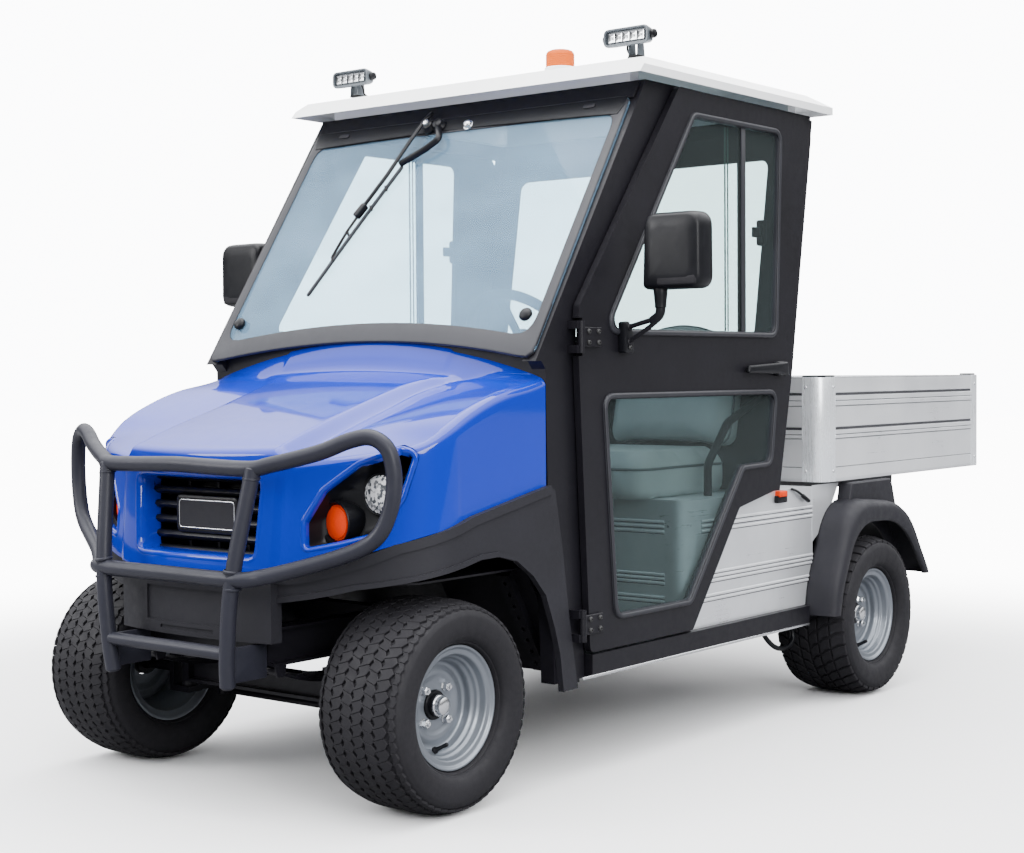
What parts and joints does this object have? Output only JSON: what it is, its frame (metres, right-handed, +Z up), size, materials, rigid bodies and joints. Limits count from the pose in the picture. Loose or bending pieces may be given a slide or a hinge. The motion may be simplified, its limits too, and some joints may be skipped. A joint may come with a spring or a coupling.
{
  "type": "utility vehicle",
  "caption": "Small four-wheeled utility vehicle with a closed two-seat cab, a bull bar and a tilting ribbed load bed.",
  "frame": {"origin": "on the ground under the middle of the vehicle", "axes": "+Z up, -Y forwards, +X the vehicle's own left side"},
  "size_m": [1.76, 3.259, 2.0159],
  "materials": {
    "blue_paint": "gloss",
    "black_steel": "satin",
    "grey_steel": "satin",
    "silver_steel": "satin",
    "dark_plastic": "grained",
    "black_plastic": "matte",
    "white_plastic": "gloss",
    "aluminium": "brushed",
    "tyre": "matte",
    "vinyl": "grained",
    "clear_glass": "clear",
    "lamp_glass": "clear",
    "red_lens": "gloss",
    "cast_iron": "rough"
  },
  "bodies": {
    "chassis": {"front_axle": "black_steel", "rear_axle": "cast_iron", "leaf_springs": "black_steel", "chassis_frame": "black_steel", "engine": "cast_iron", "cowl": "blue_paint", "grille": "black_plastic", "lamp_housings": "black_plastic", "front_lamps": "lamp_glass", "front_skirt": "dark_plastic", "bull_bar": "grey_steel", "rear_fenders": "dark_plastic", "cab_frame": "black_steel", "cab_glass": "clear_glass", "rear_wall": "black_steel", "roof": "white_plastic", "roof_lamps": "black_plastic", "wiper": "black_plastic", "floor_pan": "black_steel", "seat_base": "aluminium", "seat_cushion": "vinyl", "seat_backs": "vinyl", "seat_restraints": "black_steel", "dashboard": "black_plastic"},
    "knuckle_left": {"knuckle_left": "black_steel"},
    "knuckle_right": {"knuckle_right": "black_steel"},
    "tie_rod": {"tie_rod": "black_steel"},
    "wheel_front_left": {"wheel_front_left": "silver_steel", "tyre_front_left": "tyre"},
    "wheel_front_right": {"wheel_front_right": "silver_steel", "tyre_front_right": "tyre"},
    "wheel_rear_left": {"wheel_rear_left": "silver_steel", "tyre_rear_left": "tyre"},
    "wheel_rear_right": {"wheel_rear_right": "silver_steel", "tyre_rear_right": "tyre"},
    "steering_wheel": {"steering_wheel": "black_plastic"},
    "door_left": {"door_left": "black_steel", "door_glass_left": "clear_glass", "mirror_left": "black_plastic"},
    "door_right": {"door_right": "black_steel", "door_glass_right": "clear_glass", "mirror_right": "black_plastic"},
    "bed": {"bed_box": "aluminium", "bed_frame": "black_steel", "tail_lamps": "red_lens"},
    "tailgate": {"tailgate": "aluminium"}
  },
  "joints": [
    {"name": "steer_left", "type": "hinge", "parent": "chassis", "child": "knuckle_left", "pos_m": [0.338, -1.2445, 0.252], "axis": [0, 0, 1], "range_deg": [-25, 25]},
    {"name": "steer_right", "type": "hinge", "parent": "chassis", "child": "knuckle_right", "pos_m": [-0.338, -1.2445, 0.252], "axis": [0, 0, 1], "range_deg": [-25, 25]},
    {"name": "tie_rod_pivot", "type": "hinge", "parent": "knuckle_left", "child": "tie_rod", "pos_m": [0.338, -1.1245, 0.176], "axis": [0, 0, 1], "range_deg": [-25, 25]},
    {"name": "steering_wheel_turn", "type": "hinge", "parent": "chassis", "child": "steering_wheel", "pos_m": [0.3, -0.6225, 1.095], "axis": [0, 0.7863, 0.6178], "range_deg": [-150, 150]},
    {"name": "spin_front_left", "type": "hinge", "parent": "knuckle_left", "child": "wheel_front_left", "pos_m": [0.498, -1.2445, 0.252], "axis": [1, 0, 0], "continuous": true},
    {"name": "spin_front_right", "type": "hinge", "parent": "knuckle_right", "child": "wheel_front_right", "pos_m": [-0.498, -1.2445, 0.252], "axis": [1, 0, 0], "continuous": true},
    {"name": "spin_rear_left", "type": "hinge", "parent": "chassis", "child": "wheel_rear_left", "pos_m": [0.579, 0.7095, 0.252], "axis": [1, 0, 0], "continuous": true},
    {"name": "spin_rear_right", "type": "hinge", "parent": "chassis", "child": "wheel_rear_right", "pos_m": [-0.579, 0.7095, 0.252], "axis": [1, 0, 0], "continuous": true},
    {"name": "door_left_hinge", "type": "hinge", "parent": "chassis", "child": "door_left", "pos_m": [0.632, -0.7925, 0.756], "axis": [0, 0, 1], "range_deg": [-75, 0]},
    {"name": "door_right_hinge", "type": "hinge", "parent": "chassis", "child": "door_right", "pos_m": [-0.632, -0.7925, 0.756], "axis": [0, 0, 1], "range_deg": [0, 75]},
    {"name": "bed_tilt", "type": "hinge", "parent": "chassis", "child": "bed", "pos_m": [0, 1.2055, 0.575], "axis": [-1, 0, 0], "range_deg": [0, 45]},
    {"name": "tailgate_hinge", "type": "hinge", "parent": "bed", "child": "tailgate", "pos_m": [0, 1.6085, 0.718], "axis": [-1, 0, 0], "range_deg": [0, 90]}
  ],
  "couplings": [
    {"joint": "steer_right", "follows": "steer_left", "ratio": 1},
    {"joint": "tie_rod_pivot", "follows": "steer_left", "ratio": -1},
    {"joint": "steering_wheel_turn", "follows": "steer_left", "ratio": 6}
  ]
}
